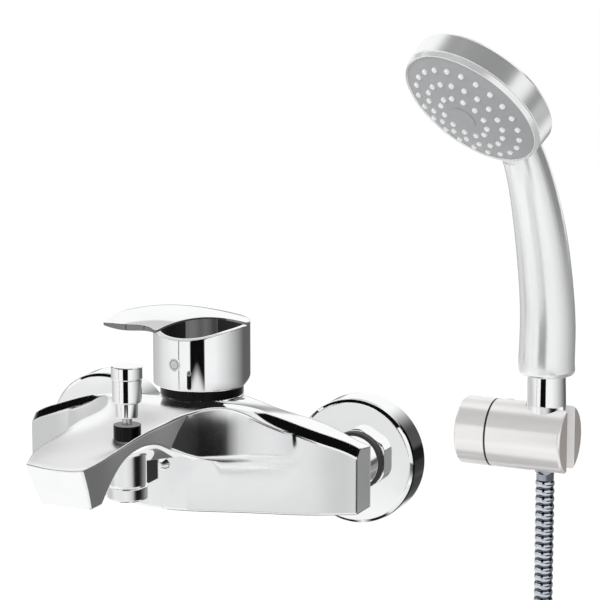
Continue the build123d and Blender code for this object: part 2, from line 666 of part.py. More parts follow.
# Nut at the free end
end_x = tail_end.X
end_y = tail_end.Y
end_z = tail_end.Z
NUT_HEIGHT = 13.0
nut_hexagon = Pos(end_x, end_y, end_z - NUT_HEIGHT) * extrude(RegularPolygon(12.0, 6, major_radius=False), NUT_HEIGHT)
nut_collar = cone(11.9, 8.0, end_z, end_z + 9.0, end_x, end_y)
nut_thread = rod(THREAD_R, end_z - 20, end_z - 4.6, end_x, end_y)
washer_seat = rod(10.3, end_z - 5, end_z - 2.2, end_x, end_y)
hose_hole = rod(HOSE_R + 0.2, end_z - 5, end_z + 20, end_x, end_y)
keep("hose_end_nut", nut_hexagon + nut_collar - nut_thread - washer_seat - hose_hole)
keep("hose_end_washer", ring(10.2, 6.0, end_z - 4.4, end_z - 2.4, end_x, end_y))

for name, shape in made.items():
    export_step(shape, "parts/" + name + ".step")
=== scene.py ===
import math

import bmesh
import bpy
import numpy as np
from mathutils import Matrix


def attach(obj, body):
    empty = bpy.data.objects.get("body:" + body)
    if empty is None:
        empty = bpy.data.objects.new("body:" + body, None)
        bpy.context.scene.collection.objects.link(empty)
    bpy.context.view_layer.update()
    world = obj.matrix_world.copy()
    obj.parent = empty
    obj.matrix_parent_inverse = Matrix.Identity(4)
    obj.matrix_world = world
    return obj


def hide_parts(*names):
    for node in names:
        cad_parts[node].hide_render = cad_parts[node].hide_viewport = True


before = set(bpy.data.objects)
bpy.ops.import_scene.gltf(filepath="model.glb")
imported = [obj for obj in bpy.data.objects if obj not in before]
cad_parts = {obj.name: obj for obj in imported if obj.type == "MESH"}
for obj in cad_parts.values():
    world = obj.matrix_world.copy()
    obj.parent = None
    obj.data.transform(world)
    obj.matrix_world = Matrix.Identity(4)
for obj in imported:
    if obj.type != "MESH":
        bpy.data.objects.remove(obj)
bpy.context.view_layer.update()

# Camera: the photograph was taken from the right of the set and a little above it, with a
# long lens, so that upright lines stay upright.
CAMERA_AZIMUTH = 24.25
CAMERA_ELEVATION = 11.58
camera_data = bpy.data.cameras.new("camera")
camera_data.lens = 180.0
camera_data.sensor_width = 36.0
camera_data.clip_end = 40.0
camera = bpy.data.objects.new("camera", camera_data)
camera.location = (0.68674, -1.44425, 0.40636)
camera.rotation_euler = (math.radians(90.0 - CAMERA_ELEVATION), 0.0, math.radians(CAMERA_AZIMUTH))
bpy.context.scene.collection.objects.link(camera)
bpy.context.scene.camera = camera
bpy.context.scene.view_settings.view_transform = "Standard"

# Shower hose: a spiral wound steel strip with rounded ribs, 1.6 m long. It hangs straight
# from the conical nut, and the rest of it is put away in a tied coil under the holder.
HOSE_X = 0.1859
HOSE_Y = -0.024
HOSE_TOP = 0.0045
HOSE_RADIUS = 0.005
HOSE_GROOVE = 0.0009
RIB_PITCH = 0.0042
COIL_RADIUS = 0.0536
COIL_PITCH = 0.011
COIL_TURNS = 1500.0 / 360.0
POINTS_PER_TURN = 24
BEND_POINTS = 4
BEND_START_Z = -0.0905
COIL_CENTRE_Z = BEND_START_Z - 2 * COIL_RADIUS * math.sin(math.radians(60.0))
COIL_START = math.radians(120.0)
DROP_HEIGHTS = (HOSE_TOP, -0.028, -0.060, -0.083)
TAIL_HEIGHTS = (-0.012, -0.030, -0.045)


def hose_route():
    """Control points of the hose: straight down from the nut, round a bend of 60 degrees,
    round the coil's turns, which climb towards the room by one pitch each, and straight
    down to the end nut. Points on an arc stand out by 1 / cos(half a step), so that the
    quadratic spline, which touches the middle of each run, has the tube's own radius."""
    drop = [(HOSE_X, HOSE_Y, z) for z in DROP_HEIGHTS]
    step = math.tau / POINTS_PER_TURN
    stand_out = COIL_RADIUS / math.cos(step / 2)
    bend = step * (np.arange(BEND_POINTS) + 0.5)
    bend_x = HOSE_X - COIL_RADIUS + stand_out * np.cos(bend)
    bend_z = BEND_START_Z - stand_out * np.sin(bend)
    bend_points = np.stack([bend_x, np.full(BEND_POINTS, HOSE_Y), bend_z], axis=1)
    count = round(COIL_TURNS * POINTS_PER_TURN)
    turned = step * (np.arange(count) + 0.5)
    angle = COIL_START + turned
    coil_points = np.stack(
        [
            HOSE_X + stand_out * np.cos(angle),
            HOSE_Y - COIL_PITCH * turned / math.tau,
            COIL_CENTRE_Z + stand_out * np.sin(angle),
        ],
        axis=1,
    )
    tail_x = HOSE_X - COIL_RADIUS
    tail_y = HOSE_Y - COIL_PITCH * COIL_TURNS
    tail = [(tail_x, tail_y, COIL_CENTRE_Z + z) for z in TAIL_HEIGHTS]
    return np.concatenate([drop, bend_points, coil_points, tail])


def spline_line(points):
    """Points that follow the open NURBS spline of order 3 through the given control points."""
    curve = bpy.data.curves.new("hose_line", "CURVE")
    curve.dimensions = "3D"
    curve.resolution_u = 16
    spline = curve.splines.new("NURBS")
    spline.points.add(len(points) - 1)
    spline.points.foreach_set("co", np.c_[points, np.ones(len(points))].ravel())
    spline.order_u = 3
    spline.use_endpoint_u = True
    holder = bpy.data.objects.new("hose_line", curve)
    bpy.context.scene.collection.objects.link(holder)
    line_mesh = bpy.data.meshes.new_from_object(holder)
    line = np.zeros(len(line_mesh.vertices) * 3)
    line_mesh.vertices.foreach_get("co", line)
    bpy.data.objects.remove(holder)
    bpy.data.meshes.remove(line_mesh)
    return line.reshape(-1, 3)


def spread_evenly(line, spacing):
    """The same line with points at even distances along it."""
    steps = np.linalg.norm(np.diff(line, axis=0), axis=1)
    along = np.concatenate([[0.0], np.cumsum(steps)])
    places = np.linspace(0.0, along[-1], int(round(along[-1] / spacing)) + 1)
    return np.stack([np.interp(places, along, line[:, i]) for i in range(3)], axis=1), places


def quads_between(index):
    """Faces of a grid of vertex numbers: each joins a vertex to the next one across, the one
    beyond it in the next row, and the one below it."""
    corners = [index[..., :-1, :-1], index[..., :-1, 1:], index[..., 1:, 1:], index[..., 1:, :-1]]
    return np.stack(corners, axis=-1).reshape(-1, 4).tolist()


def grid_mesh(name, points, wrap_across=True, close_ends=True):
    """Mesh of a grid of points, rows along and columns across. Columns join round when
    wrap_across is set, and each end row is closed with one face."""
    rows, columns = points.shape[:2]
    index = np.arange(rows * columns).reshape(rows, columns)
    if wrap_across:
        index = np.concatenate([index, index[:, :1]], axis=1)
    faces = quads_between(index)
    if close_ends:
        faces.append(list(range(columns))[::-1])
        faces.append(list(range((rows - 1) * columns, rows * columns)))
    mesh = bpy.data.meshes.new(name)
    mesh.from_pydata(points.reshape(-1, 3), [], faces)
    mesh.polygons.foreach_set("use_smooth", np.ones(len(mesh.polygons), bool))
    mesh.update()
    piece = bpy.data.objects.new(name, mesh)
    bpy.context.scene.collection.objects.link(piece)
    return piece


# Across one rib, from groove to groove, as shares of the pitch and of the groove's depth
SAMPLES_PER_RIB = 8
RIB_SHARE = np.array([0.0, 0.06, 0.14, 0.30, 0.50, 0.70, 0.86, 0.94, 1.0])
RIB_DEPTH = np.array([1.0, 0.85, 0.30, 0.06, 0.0, 0.06, 0.30, 0.85, 1.0])


def ribbed_tube(name, line, radius, around=20):
    """Tube along a line. Its radius falls into a groove once a pitch, and each ring stands
    square to the line, turned from the Y direction, which the line never follows."""
    even, along = spread_evenly(line, RIB_PITCH / SAMPLES_PER_RIB)
    forward = np.gradient(even, along, axis=0)
    forward /= np.linalg.norm(forward, axis=1)[:, None]
    side = np.cross(forward, (0.0, 1.0, 0.0))
    side /= np.linalg.norm(side, axis=1)[:, None]
    up = np.cross(side, forward)
    depth = np.interp((along / RIB_PITCH) % 1.0, RIB_SHARE, RIB_DEPTH)
    ring_radius = radius - HOSE_GROOVE * depth
    angle = np.linspace(0.0, math.tau, around, endpoint=False)
    rings = side[:, None] * np.cos(angle)[:, None] + up[:, None] * np.sin(angle)[:, None]
    tube = grid_mesh(name, even[:, None] + rings * ring_radius[:, None, None])
    groove = tube.data.attributes.new("groove", "FLOAT", "POINT")
    groove.data.foreach_set("value", np.repeat(depth, around).astype(np.float32))
    return tube


hose_path = spline_line(hose_route())
hose = ribbed_tube("shower_hose", hose_path, HOSE_RADIUS)
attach(hose, "hose")
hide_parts("hose_drop", "hose_coil")

# Studio: a plain pale floor under the set, and a white room. Polished metal shows only what
# stands round it, so dark and grey cards hang where a photographer puts them round chrome.
FLOOR_Z = -0.32
FLOOR_HALF = 14.0
FLOOR_WHITE = 0.96
FLOOR_GLOW = 0.19
floor_sides = np.array([-FLOOR_HALF, FLOOR_HALF])
floor_points = np.stack(np.meshgrid(floor_sides, floor_sides, [FLOOR_Z]), axis=-1)[:, :, 0]
floor = grid_mesh("floor", floor_points, wrap_across=False, close_ends=False)


def new_material(name):
    """A node material with its Principled shader and output, and nothing else."""
    material = bpy.data.materials.new(name)
    material.use_nodes = True
    tree = material.node_tree
    tree.nodes.clear()
    shader = tree.nodes.new("ShaderNodeBsdfPrincipled")
    output = tree.nodes.new("ShaderNodeOutputMaterial")
    tree.links.new(shader.outputs["BSDF"], output.inputs["Surface"])
    return material, tree, shader


def calculated(tree, operation, *values):
    """Result of a Math node. Each value is a number, or the socket that gives it."""
    step = tree.nodes.new("ShaderNodeMath")
    step.operation = operation
    for socket, value in zip(step.inputs, values):
        if isinstance(value, bpy.types.NodeSocket):
            tree.links.new(value, socket)
        else:
            socket.default_value = value
    return step.outputs["Value"]


def seen_directly(tree):
    """1 for what the camera, a mirror or glass sees, and 0 for light that falls on the set."""
    path = tree.nodes.new("ShaderNodeLightPath")
    total = path.outputs["Is Camera Ray"]
    for kind in ("Is Glossy Ray", "Is Transmission Ray"):
        either = tree.nodes.new("ShaderNodeMath")
        either.operation = "ADD"
        either.use_clamp = True
        tree.links.new(total, either.inputs[0])
        tree.links.new(path.outputs[kind], either.inputs[1])
        total = either.outputs["Value"]
    return total


floor_material, floor_tree, floor_shader = new_material("pale_floor")
floor_shader.inputs["Base Color"].default_value = (FLOOR_WHITE, FLOOR_WHITE, FLOOR_WHITE, 1.0)
floor_shader.inputs["Roughness"].default_value = 0.9
floor_shader.inputs["Specular IOR Level"].default_value = 0.0
floor_shader.inputs["Emission Color"].default_value = (1.0, 1.0, 1.0, 1.0)
floor_lift = calculated(floor_tree, "MULTIPLY", seen_directly(floor_tree), FLOOR_GLOW)
floor_tree.links.new(floor_lift, floor_shader.inputs["Emission Strength"])
floor.data.materials.append(floor_material)

WHITE_STRENGTH = 1.0
ROOM_LIGHT = 0.85
world = bpy.data.worlds.new("white_room")
bpy.context.scene.world = world
world.use_nodes = True
room = world.node_tree
room.nodes.clear()
room_output = room.nodes.new("ShaderNodeOutputWorld")
room_mix = room.nodes.new("ShaderNodeMixShader")
room.links.new(seen_directly(room), room_mix.inputs["Fac"])
for place, strength in ((1, ROOM_LIGHT), (2, WHITE_STRENGTH)):
    background = room.nodes.new("ShaderNodeBackground")
    background.inputs["Color"].default_value = (1.0, 1.0, 1.0, 1.0)
    background.inputs["Strength"].default_value = strength
    room.links.new(background.outputs["Background"], room_mix.inputs[place])
room.links.new(room_mix.outputs["Shader"], room_output.inputs["Surface"])


def studio_paint(name, first_only):
    """Card paint: glows with the attribute tone and hides with the attribute cover. With
    first_only set it isn't seen in a reflection of a reflection, so that pieces which mirror
    each other don't carry a black card into one another."""
    paint = bpy.data.materials.new(name)
    paint.use_nodes = True
    tree = paint.node_tree
    tree.nodes.clear()
    tone = tree.nodes.new("ShaderNodeAttribute")
    tone.attribute_name = "tone"
    cover = tree.nodes.new("ShaderNodeAttribute")
    cover.attribute_name = "cover"
    hides = cover.outputs["Fac"]
    if first_only:
        path = tree.nodes.new("ShaderNodeLightPath")
        first = calculated(tree, "LESS_THAN", path.outputs["Glossy Depth"], 1.5)
        hides = calculated(tree, "MULTIPLY", hides, first)
    glow = tree.nodes.new("ShaderNodeEmission")
    clear = tree.nodes.new("ShaderNodeBsdfTransparent")
    mix = tree.nodes.new("ShaderNodeMixShader")
    output = tree.nodes.new("ShaderNodeOutputMaterial")
    tree.links.new(tone.outputs["Fac"], glow.inputs["Strength"])
    tree.links.new(hides, mix.inputs["Fac"])
    tree.links.new(clear.outputs["BSDF"], mix.inputs[1])
    tree.links.new(glow.outputs["Emission"], mix.inputs[2])
    tree.links.new(mix.outputs["Shader"], output.inputs["Surface"])
    return paint


black_paint = studio_paint("black_card", True)
paper_paint = studio_paint("grey_paper", False)


def smooth_rise(share):
    """From 0 to 1 with level ends: three times the square, less twice the cube."""
    share = np.clip(share, 0.0, 1.0)
    return share * share * (3.0 - 2.0 * share)


def faded(place, fade):
    """1 along a row of places, falling to 0 over a width at each of its two ends."""
    return smooth_rise((place - place[0]) / fade) * smooth_rise((place[-1] - place) / fade)


CARD_BLACK = 0.004


def card(name, points, tone, cover):
    """Card seen only in reflections: the grey that it shows at each point of its grid, and
    how much of what is behind it hides there, from 0 at a soft edge to 1."""
    sheet = grid_mesh(name, points, wrap_across=False, close_ends=False)
    for label, values in (("tone", tone), ("cover", cover)):
        layer = sheet.data.attributes.new(label, "FLOAT", "POINT")
        spread = np.ascontiguousarray(np.broadcast_to(values, points.shape[:2]), dtype=np.float32)
        layer.data.foreach_set("value", spread.ravel())
    sheet.data.materials.append(black_paint if np.max(tone) <= CARD_BLACK else paper_paint)
    sheet.visible_camera = False
    sheet.visible_diffuse = False
    sheet.visible_shadow = False
    sheet.visible_transmission = False


MIXER_MIDDLE = np.array([0.0, -0.06])
POINTS_ACROSS = 33
POINTS_UP = 121
POINTS_ROUND = 49
WALL_POINTS_ROUND = 241
WALL_POINTS_UP = 49
WALL_GAP = 0.002


def upright_card(name, azimuth, distance, width, low, high, side_fade, end_fade, tone=CARD_BLACK):
    """Card that stands facing the mixer, at an azimuth in degrees counted from the front
    towards the right, between two heights."""
    angle = math.radians(azimuth)
    out = np.array([math.sin(angle), -math.cos(angle)])
    across = np.array([math.cos(angle), math.sin(angle)])
    place = np.linspace(-width / 2, width / 2, POINTS_ACROSS)
    height = np.linspace(low, high, POINTS_UP)
    points = np.empty((len(height), len(place), 3))
    points[..., :2] = MIXER_MIDDLE + out * distance + across * place[:, None]
    points[..., 2] = height[:, None]
    cover = faded(height, end_fade)[:, None] * faded(place, side_fade)
    card(name, points, tone, cover)


def level_card(name, azimuths, distances, height, turn_fade, reach_fade, tone=CARD_BLACK):
    """Card that lies level: a sector of a ring round the mixer, given by its azimuths in
    degrees and its distances."""
    azimuth = np.linspace(*azimuths, POINTS_ROUND)
    reach = np.linspace(*distances, POINTS_ACROSS)
    angle = np.radians(azimuth)
    points = np.empty((len(reach), len(azimuth), 3))
    points[..., 0] = MIXER_MIDDLE[0] + reach[:, None] * np.sin(angle)
    points[..., 1] = MIXER_MIDDLE[1] - reach[:, None] * np.cos(angle)
    points[..., 2] = height
    cover = faded(reach, reach_fade)[:, None] * faded(azimuth, turn_fade)
    card(name, points, tone, cover)


def paper_wall(name, radius, tones, top, top_fade, low_fade=0.001):
    """Round wall of paper about the mixer, from the floor up. Its grey follows a table of
    azimuths and tones, and its upper edge, one height for each azimuth, is soft. With a low
    fade it also thins out towards the floor."""
    azimuth = np.linspace(-180.0, 180.0, WALL_POINTS_ROUND)
    share = np.linspace(0.0, 1.0, WALL_POINTS_UP)
    points = np.empty((len(share), len(azimuth), 3))
    points[..., 0] = MIXER_MIDDLE[0] + radius * np.sin(np.radians(azimuth))
    points[..., 1] = MIXER_MIDDLE[1] - radius * np.cos(np.radians(azimuth))
    points[..., 2] = FLOOR_Z + WALL_GAP + (top(azimuth) - FLOOR_Z) * share[:, None]
    tone = np.interp(azimuth, *np.array(tones, float).T)
    cover = smooth_rise((1.0 - share) / top_fade) * smooth_rise(share / low_fade)
    card(name, points, tone, cover[:, None])


# Upright tubes above the body mirror the far wall, which is lower behind the set, and the
# black card in front. The thin card is the dark line beside it.
FAR_RADIUS = 1.3
FAR_TONES = [
    (-180, 0.12), (-158, 0.30), (-135, 0.50), (-98, 0.62), (-74, 0.80), (-50, 0.90), (-10, 0.95),
    (46, 0.95), (58, 0.94), (71, 0.83), (83, 0.73), (95, 0.60), (107, 0.47), (119, 0.34),
    (131, 0.21), (143, 0.12), (180, 0.12),
]


def far_top(turn):
    """Height of the far wall: 0.42 up to an azimuth of 112 degrees, 0.05 from 138 on."""
    return 0.05 + 0.37 * smooth_rise((138.0 - abs(turn)) / 26.0)


paper_wall("far_wall", FAR_RADIUS, FAR_TONES, far_top, 0.30)
UPRIGHT_CARDS = [
    # name, azimuth, distance, width, low and high end, fade of the sides and of the ends
    ("card_front", 16.0, 0.60, 0.40, -0.30, 0.90, 0.03, 0.02),
    ("card_line", -29.5, 0.60, 0.026, -0.40, 0.90, 0.006, 0.02),
]
for card_values in UPRIGHT_CARDS:
    upright_card(*card_values)

# The body lies lower and mirrors the near wall, which ends below what the lever's cup sees. It
# is pale in front and black on the right, where the shoulder turns into the spout.
NEAR_RADIUS = 0.55
NEAR_TONES = [
    (-180, 0.85), (-150, 0.85), (-125, 0.60), (-75, 0.60), (-45, 0.84), (-15, 0.80), (15, 0.84),
    (30, 0.76), (45, 0.60), (54, 0.30), (62, 0.05), (70, 0.01), (92, 0.01), (105, 0.05), (120, 0.14),
    (135, 0.24), (164, 0.33), (180, 0.85),
]


def faded_round(turn, middle, half):
    """1 at a middle azimuth, falling smoothly to 0 at a half width on each side of it."""
    return smooth_rise(1.0 - abs(turn - middle) / half)


def near_top(turn):
    """Height of the near wall: -0.078, and 14 mm more at an azimuth of 15 degrees."""
    return -0.078 + 0.014 * faded_round(turn, 15.0, 22.0)


paper_wall("near_wall", NEAR_RADIUS, NEAR_TONES, near_top, 0.06, 0.75)
FLOOR_CARDS = [
    # name, azimuths, distances, height, fade of the azimuths and of the distances, tone
    ("card_floor", (-180.0, 180.0), (0.0, 0.55), FLOOR_Z + 0.004, 0.5, 0.04, 0.88),
    ("card_floor_left", (-112.0, -24.0), (0.15, 0.50), FLOOR_Z + 0.010, 9.0, 0.03, 1.0),
    ("card_floor_under", (-180.0, 180.0), (0.0, 0.17), FLOOR_Z + 0.008, 0.5, 0.05, CARD_BLACK),
    ("card_floor_right", (104.0, 184.0), (0.16, 0.90), FLOOR_Z + 0.006, 8.0, 0.08, 0.15),
]
for card_values in FLOOR_CARDS:
    level_card(*card_values)

# Bevels that look up mirror black cards: a high one round the front and upright ones at the
# sides. A grey one hangs behind.
HIGH_CARD_Z = 1.0
level_card("card_high_front", (-110.0, 108.0), (0.08, 1.90), HIGH_CARD_Z, 9.0, 0.08)
upright_card("card_left", -108.0, 0.90, 0.50, 0.06, 0.58, 0.05, 0.04)
upright_card("card_right", 121.0, 1.15, 1.30, -0.03, 0.85, 0.10, 0.08)
level_card("card_high_back", (160.0, 228.0), (0.45, 1.40), HIGH_CARD_Z, 12.0, 0.20, tone=0.66)

# A soft lamp on the left in front gives the diffuse pieces their light side.
key_data = bpy.data.lights.new("soft_key", "AREA")
key_data.shape = "RECTANGLE"
key_data.size = 1.4
key_data.size_y = 1.0
key_data.energy = 9.0
key = bpy.data.objects.new("soft_key", key_data)
key.location = (-0.9, -1.3, 1.5)
key.rotation_euler = (math.radians(42.0), 0.0, math.radians(-34.0))
key.visible_glossy = False
bpy.context.scene.collection.objects.link(key)


# Polished chrome: nickel and chrome plate over ground and buffed brass. Up close it has
# hairline polishing marks and faint smudges, and it is a little duller in corners.
def node_group(name, inputs, outputs):
    """An empty shader node group with named inputs (name, kind, value) and outputs."""
    group = bpy.data.node_groups.new(name, "ShaderNodeTree")
    for label, kind, value in inputs:
        socket = group.interface.new_socket(label, in_out="INPUT", socket_type=kind)
        socket.default_value = value
    for label, kind in outputs:
        group.interface.new_socket(label, in_out="OUTPUT", socket_type=kind)
    return group, group.nodes.new("NodeGroupInput"), group.nodes.new("NodeGroupOutput")


def ranged(tree, value, low, high, result_low=0.0, result_high=1.0, soft=False):
    """A value moved from one range to another and held at its ends, in a straight line or,
    when it is soft, in a smooth step."""
    spread = tree.nodes.new("ShaderNodeMapRange")
    if soft:
        spread.interpolation_type = "SMOOTHSTEP"
    spread.inputs["From Min"].default_value = low
    spread.inputs["From Max"].default_value = high
    spread.inputs["To Min"].default_value = result_low
    spread.inputs["To Max"].default_value = result_high
    tree.links.new(value, spread.inputs["Value"])
    return spread.outputs["Result"]


def blended(tree, share, first, second):
    """Colour that is the first where the share is 0 and the second where it is 1."""
    mix = tree.nodes.new("ShaderNodeMix")
    mix.data_type = "RGBA"
    for label, socket in (("Factor", share), ("A", first), ("B", second)):
        tree.links.new(socket, mix.inputs[label])
    return mix.outputs["Result"]


def build_polish_marks():
    """Smudges are a soft noise, hairlines a noise stretched along Z. The roughness is the
    base plus both, and the height is the hairlines alone. Tint pulls the colour a little
    between two shades where the plate is thin."""
    group, given, result = node_group(
        "polish_marks",
        [
            ("Colour", "NodeSocketColor", (0.9, 0.9, 0.9, 1.0)),
            ("Tint", "NodeSocketColor", (0.8, 0.8, 0.8, 1.0)),
            ("Roughness", "NodeSocketFloat", 0.03),
            ("Smudges", "NodeSocketFloat", 0.04),
            ("Hairlines", "NodeSocketFloat", 0.02),
        ],
        [
            ("Colour", "NodeSocketColor"),
            ("Roughness", "NodeSocketFloat"),
            ("Height", "NodeSocketFloat"),
        ],
    )
    nodes, links = group.nodes, group.links
    place = nodes.new("ShaderNodeTexCoord")
    smudge = nodes.new("ShaderNodeTexNoise")
    smudge.inputs["Scale"].default_value = 38.0
    smudge.inputs["Detail"].default_value = 3.0
    links.new(place.outputs["Object"], smudge.inputs["Vector"])
    stretch = nodes.new("ShaderNodeMapping")
    stretch.inputs["Scale"].default_value = (900.0, 900.0, 60.0)
    links.new(place.outputs["Object"], stretch.inputs["Vector"])
    hair = nodes.new("ShaderNodeTexNoise")
    hair.inputs["Scale"].default_value = 1.0
    hair.inputs["Detail"].default_value = 2.0
    links.new(stretch.outputs["Vector"], hair.inputs["Vector"])
    patch = ranged(group, smudge.outputs["Fac"], 0.48, 0.72)
    dulled = calculated(
        group, "MULTIPLY_ADD", patch, given.outputs["Smudges"], given.outputs["Roughness"]
    )
    scratched = calculated(
        group, "MULTIPLY_ADD", hair.outputs["Fac"], given.outputs["Hairlines"], dulled
    )
    links.new(scratched, result.inputs["Roughness"])
    links.new(hair.outputs["Fac"], result.inputs["Height"])
    tinted = blended(group, patch, given.outputs["Colour"], given.outputs["Tint"])
    links.new(tinted, result.inputs["Colour"])
    return group


polish_marks = build_polish_marks()


def add_relief(tree, shader, height, strength):
    """Bump of up to a tenth of a millimetre, from a height between 0 and 1."""
    relief = tree.nodes.new("ShaderNodeBump")
    relief.inputs["Strength"].default_value = strength
    relief.inputs["Distance"].default_value = 0.0001
    tree.links.new(height, relief.inputs["Height"])
    tree.links.new(relief.outputs["Normal"], shader.inputs["Normal"])
    return relief


def metal(name, colour, tint, roughness, smudges, hairlines, bump, edge=0.0):
    """Plated or bare metal with polishing marks of its own strength. Its edges shade as if
    they were rounded by the given radius, as buffing leaves them."""
    material, tree, shader = new_material(name)
    marks = tree.nodes.new("ShaderNodeGroup")
    marks.node_tree = polish_marks
    marks.inputs["Colour"].default_value = (*colour, 1.0)
    marks.inputs["Tint"].default_value = (*tint, 1.0)
    marks.inputs["Roughness"].default_value = roughness
    marks.inputs["Smudges"].default_value = smudges
    marks.inputs["Hairlines"].default_value = hairlines
    tree.links.new(marks.outputs["Colour"], shader.inputs["Base Color"])
    tree.links.new(marks.outputs["Roughness"], shader.inputs["Roughness"])
    shader.inputs["Metallic"].default_value = 1.0
    relief = add_relief(tree, shader, marks.outputs["Height"], bump)
    if edge:
        rounded = tree.nodes.new("ShaderNodeBevel")
        rounded.samples = 8
        rounded.inputs["Radius"].default_value = edge
        tree.links.new(rounded.outputs["Normal"], relief.inputs["Normal"])
    return material


CHROME = (0.95, 0.955, 0.96)
CHROME_SMUDGED = (0.90, 0.91, 0.92)


def plated(name, roughness=0.02, smudges=0.02, edge=0.0009):
    """Polished chrome with the colours, hairlines and bump that all of it has."""
    return metal(name, CHROME, CHROME_SMUDGED, roughness, smudges, 0.008, 0.015, edge=edge)


def finish(node, material):
    """Give a CAD piece its material in every slot."""
    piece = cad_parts[node]
    if not piece.data.materials:
        piece.data.materials.append(material)
    for i in range(len(piece.material_slots)):
        piece.material_slots[i].material = material


chrome = plated("polished_chrome")
CHROME_NODES = """right_union_nut left_union_nut right_inlet_sleeve left_inlet_sleeve diverter_knob
diverter_cap outlet_nipple cover_plug aerator_housing cone_nut hose_end_nut handset_nipple""".split()
for name in CHROME_NODES:
    finish(name, chrome)


# Lever: one casting, plated all over. Inside its hollow cup it is rougher and painted dark as
# painted shade, paler in the middle round the stem, and the paddle's narrow rim is painted dark
# as painted shade.
def shader_of(material):
    """A material's Principled shader."""
    return next(n for n in material.node_tree.nodes if n.bl_idname == "ShaderNodeBsdfPrincipled")


def object_place(tree):
    """A point's place on its piece, in the object's own coordinates."""
    return tree.nodes.new("ShaderNodeTexCoord").outputs["Object"]


def split(tree, vector):
    """The X, Y and Z of a vector, by name."""
    parts = tree.nodes.new("ShaderNodeSeparateXYZ")
    tree.links.new(vector, parts.inputs["Vector"])
    return parts.outputs


def facing(tree):
    """X, Y and Z of the direction in which the surface looks."""
    return split(tree, tree.nodes.new("ShaderNodeNewGeometry").outputs["Normal"])


def distance_from(tree, centre, across):
    """Distance from a centre along the axes for which across is 1: the length of the place
    times across, less the centre."""
    offset = tree.nodes.new("ShaderNodeVectorMath")
    offset.operation = "MULTIPLY_ADD"
    tree.links.new(object_place(tree), offset.inputs[0])
    offset.inputs[1].default_value = across
    offset.inputs[2].default_value = [-part for part in centre]
    distance = tree.nodes.new("ShaderNodeVectorMath")
    distance.operation = "LENGTH"
    tree.links.new(offset.outputs["Vector"], distance.inputs[0])
    return distance.outputs["Value"]


def blend_socket(material, socket, mask, value):
    """Move one of the shader's inputs towards a value where the mask is 1. The value is a
    number, a colour, or the socket that gives either."""
    tree = material.node_tree
    target = shader_of(material).inputs[socket]
    mix = tree.nodes.new("ShaderNodeMix")
    if target.type == "RGBA":
        mix.data_type = "RGBA"
    tree.links.new(mask, mix.inputs["Factor"])
    if target.is_linked:
        tree.links.new(target.links[0].from_socket, mix.inputs["A"])
    else:
        mix.inputs["A"].default_value = target.default_value
    if isinstance(value, bpy.types.NodeSocket):
        tree.links.new(value, mix.inputs["B"])
    else:
        mix.inputs["B"].default_value = value
    tree.links.new(mix.outputs["Result"], target)


CUP_CENTRE = (0.0, -0.0467, 0.0)
CUP_INSIDE = 0.0236
CUP_OUTSIDE = 0.0275
PALE_WITHIN = 0.007
DARK_FROM = 0.013
LEVEL_AXES = (1.0, 1.0, 0.0)
lever_chrome = plated("lever_chrome")
lever_tree = lever_chrome.node_tree
from_cup = distance_from(lever_tree, CUP_CENTRE, LEVEL_AXES)
lever_up = facing(lever_tree)["Z"]
inside_cup = calculated(
    lever_tree,
    "MULTIPLY",
    calculated(lever_tree, "LESS_THAN", from_cup, CUP_INSIDE),
    calculated(lever_tree, "LESS_THAN", lever_up, 0.5),
)
# Painted shade inside the cup: near black at its wall, paler round the stem.
cup_painted_shade = ranged(lever_tree, from_cup, PALE_WITHIN, DARK_FROM, 0.28, 0.03)
blend_socket(lever_chrome, "Base Color", inside_cup, cup_painted_shade)
blend_socket(lever_chrome, "Roughness", inside_cup, 0.5)
# Painted shade on the paddle's narrow rim.
paddle_rim_shade = calculated(
    lever_tree,
    "MULTIPLY",
    calculated(lever_tree, "COMPARE", lever_up, 0.0, 0.5),
    calculated(lever_tree, "GREATER_THAN", from_cup, CUP_OUTSIDE),
)
blend_socket(lever_chrome, "Base Color", paddle_rim_shade, (0.22, 0.22, 0.225, 1.0))
finish("lever_handle", lever_chrome)

# Ring and collar under the lever and the knob: the same plate, painted near black as painted shade
# for the narrow gap in which it hardly mirrors.
SHADE_PAINT = (0.016, 0.016, 0.017)
SHADE_PAINT_SMUDGED = (0.010, 0.010, 0.011)
painted_shade_plate = metal("painted_shade_plate", SHADE_PAINT, SHADE_PAINT_SMUDGED, 0.10, 0.05, 0.03, 0.05, edge=0.0006)
finish("neck_ring", painted_shade_plate)
finish("diverter_collar", painted_shade_plate)

# Mixer casting: poured brass, ground, buffed and plated in one piece. Buffing leaves a wide soft
# turn where each shoulder runs into the flat front, and the arch under the spout is painted near
# black as painted shade, but not the outlet's boss. The limits of both are given for the side
# distance, Y and Z.
BODY_EDGE = 0.0017
SHOULDER_TURN = 0.011
SHOULDER_LIMITS = ((0.030, 0.078, 0.006), (-0.125, -0.058, 0.006), (-0.004, 0.014, 0.005))
ARCH_LIMITS = ((-0.01, 0.0150, 0.0008), (-0.180, -0.098, 0.002), (-0.05, 0.0275, 0.001))
BOSS_CENTRE = (0.0, -0.133, 0.0)
BOSS_REACH = 0.0135


def product(tree, *values):
    """All the values multiplied."""
    result = values[0]
    for value in values[1:]:
        result = calculated(tree, "MULTIPLY", result, value)
    return result


def between(tree, value, low, high, fade):
    """1 where a value lies between two limits, falling to 0 over a fade outside them."""
    rise = ranged(tree, value, low - fade, low, soft=True)
    fall = ranged(tree, value, high, high + fade, 1.0, 0.0, soft=True)
    return product(tree, rise, fall)


def within(tree, values, limits):
    """1 where each value lies between its own limits, which are low, high and fade."""
    masks = [between(tree, value, *limit) for value, limit in zip(values, limits)]
    return product(tree, *masks)


